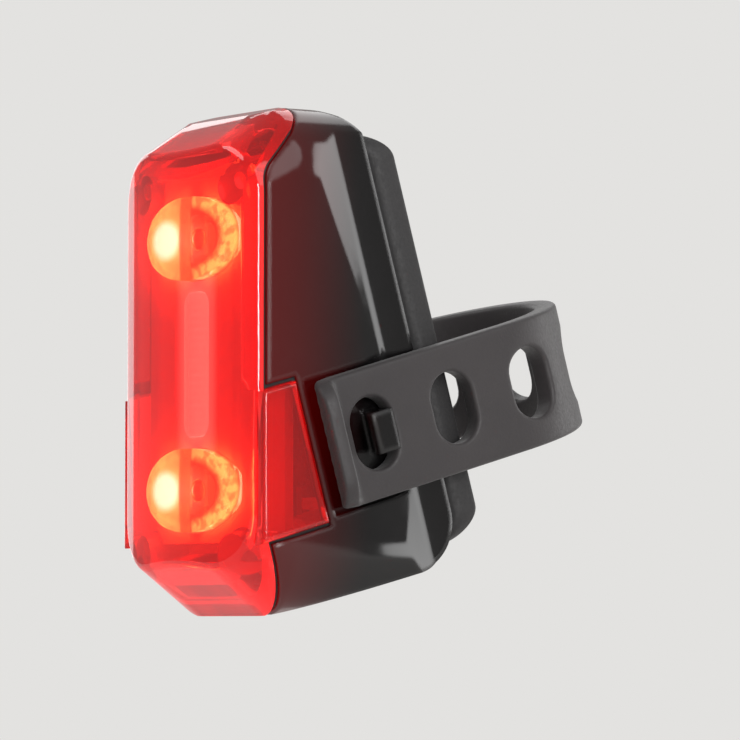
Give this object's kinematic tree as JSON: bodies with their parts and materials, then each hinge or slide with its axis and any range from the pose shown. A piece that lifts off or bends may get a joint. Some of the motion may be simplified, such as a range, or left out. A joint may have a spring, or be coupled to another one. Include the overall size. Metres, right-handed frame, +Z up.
{
  "type": "bicycle rear light",
  "caption": "Upright red bicycle rear light with a clear red lens and a black housing, held on a leaning seat post by a hooked rubber strap.",
  "frame": {"origin": "on the seat post's axis, at the middle of the strap's width", "axes": "+Z up with the light in use, -Y the way the beam leaves, +X towards the strap's hook; the seat post's axis leans 16 degrees from +Z towards -Y"},
  "size_m": [0.037, 0.0562, 0.0605],
  "materials": {
    "red_lens": "clear red moulded polycarbonate, polished",
    "black_housing": "gloss black moulded plastic",
    "strap_rubber": "matt charcoal moulded rubber",
    "pad_rubber": "matt black ribbed rubber",
    "seal_rubber": "soft black sealing rubber",
    "button_rubber": "matt dark rubber",
    "screw_steel": "plated steel",
    "plate_steel": "brushed steel plate",
    "board_laminate": "white solder mask on glass laminate",
    "frame_plastic": "satin red moulded plastic",
    "optic_plastic": "clear polished acrylic",
    "lamp_glow": "lit lamp with a clear dome",
    "guide_plastic": "frosted acrylic",
    "chip_plastic": "black moulded chip",
    "coil_ferrite": "dark ferrite block",
    "ceramic": "tan ceramic with plated ends",
    "switch_plastic": "black switch body",
    "window_plastic": "clear light pipe",
    "cell_foil": "silver laminated foil",
    "cell_foam": "black adhesive foam",
    "lead_sleeve": "soft insulated wire",
    "plug_plastic": "natural white plug",
    "socket_steel": "bright plated shell",
    "pin_metal": "gilt pins in a black strip"
  },
  "bodies": {
    "light": {"lens_cover": "red_lens", "case_seal": "seal_rubber", "rear_housing": "black_housing", "case_screws": "screw_steel", "mount_pad": "pad_rubber", "strap_root": "strap_rubber", "clamp_plate": "plate_steel", "clamp_screw": "screw_steel", "circuit_board": "board_laminate", "board_screws": "screw_steel", "reflector_frame": "frame_plastic", "optic_upper": "optic_plastic", "optic_lower": "optic_plastic", "lamp_upper": "lamp_glow", "lamp_lower": "lamp_glow", "light_guide": "guide_plastic", "guide_lamps": "lamp_glow", "driver_chip": "chip_plastic", "inductor": "coil_ferrite", "capacitors": "ceramic", "power_switch": "switch_plastic", "status_window": "window_plastic", "status_lamp": "window_plastic", "battery_cell": "cell_foil", "battery_pad": "cell_foam", "battery_leads": "lead_sleeve", "battery_plug": "plug_plastic", "charging_socket": "socket_steel", "socket_board": "board_laminate", "socket_pins": "pin_metal"},
    "strap_wrap": {"strap_wrap": "strap_rubber"},
    "strap_tail": {"strap_tail": "strap_rubber"},
    "button": {"power_button": "button_rubber", "switch_plunger": "switch_plastic"},
    "port_cover": {"port_cover": "button_rubber"}
  },
  "joints": [
    {"name": "button_press", "type": "slide", "parent": "light", "child": "button", "axis": [1, 0, 0], "range_m": [0, 0.0006], "stiffness_N_per_m": 400},
    {"name": "port_cover_open", "type": "hinge", "parent": "light", "child": "port_cover", "pos_m": [0, -0.01968, -0.02437], "axis": [1, 0, 0], "range_deg": [0, 110], "stiffness_Nm_per_rad": 0.0005},
    {"name": "strap_release", "type": "hinge", "parent": "strap_wrap", "child": "strap_tail", "pos_m": [0.0163, -0.00322, -0.00092], "axis": [0, -0.2756, 0.9613], "range_deg": [0, 110], "stiffness_Nm_per_rad": 0.01},
    {"name": "strap_open", "type": "hinge", "parent": "light", "child": "strap_wrap", "pos_m": [-0.0163, -0.00322, -0.00092], "axis": [0, -0.2756, 0.9613], "range_deg": [0, 33], "stiffness_Nm_per_rad": 0.01}
  ],
  "couplings": [
    {"joint": "strap_open", "follows": "strap_release", "ratio": 0.3}
  ]
}
